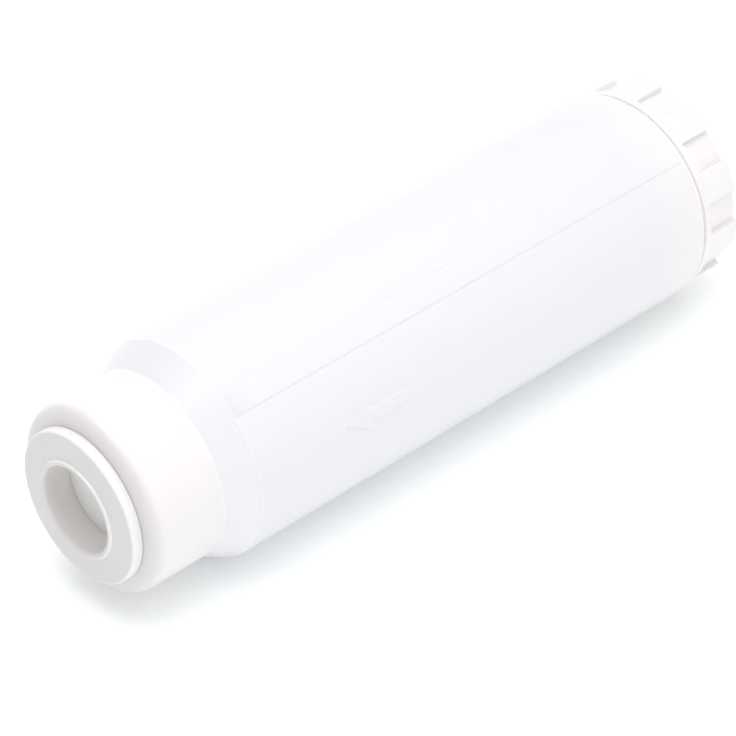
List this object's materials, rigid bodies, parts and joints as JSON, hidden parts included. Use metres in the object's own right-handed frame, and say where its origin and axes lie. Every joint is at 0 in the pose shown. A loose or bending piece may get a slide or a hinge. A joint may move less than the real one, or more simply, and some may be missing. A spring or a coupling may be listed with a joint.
{
  "type": "activated carbon filter cartridge",
  "caption": "Upright white drop-in water filter cartridge: carbon-filled body with a necked outlet end, soft round gasket, flow arrow and a screw cap with grip lands at the inlet end.",
  "frame": {"origin": "on the cartridge's axis at the inlet gasket's face, which the cartridge stands on", "axes": "+Z along the axis from the inlet to the outlet, -Y towards the flow arrow"},
  "size_m": [0.07, 0.0705, 0.25],
  "materials": {
    "body_plastic": "satin",
    "cap_plastic": "satin",
    "gasket_rubber": "matte",
    "strainer_plastic": "matte",
    "felt": "matte",
    "foam": "matte",
    "carbon": "matte",
    "o_ring_rubber": "satin"
  },
  "bodies": {
    "shell": {"body": "body_plastic", "outlet_gasket": "gasket_rubber", "outlet_strainer": "strainer_plastic", "outlet_felt_pad": "felt", "carbon_bed": "carbon", "inlet_felt_pad": "felt", "expansion_pad": "foam", "inlet_strainer": "strainer_plastic"},
    "cap_seal": {"cap_o_ring": "o_ring_rubber"},
    "screw_cap": {"end_cap": "cap_plastic", "inlet_gasket": "gasket_rubber"}
  },
  "joints": [
    {"name": "cap_slide", "type": "slide", "parent": "shell", "child": "cap_seal", "axis": [0, 0, -1], "range_m": [0, 0.01]},
    {"name": "cap_turn", "type": "hinge", "parent": "cap_seal", "child": "screw_cap", "pos_m": [0, 0, 0.0244], "axis": [0, 0, -1], "range_deg": [0, 720]}
  ],
  "couplings": [
    {"joint": "cap_slide", "follows": "cap_turn", "m_per_rad": 0.00079577}
  ]
}
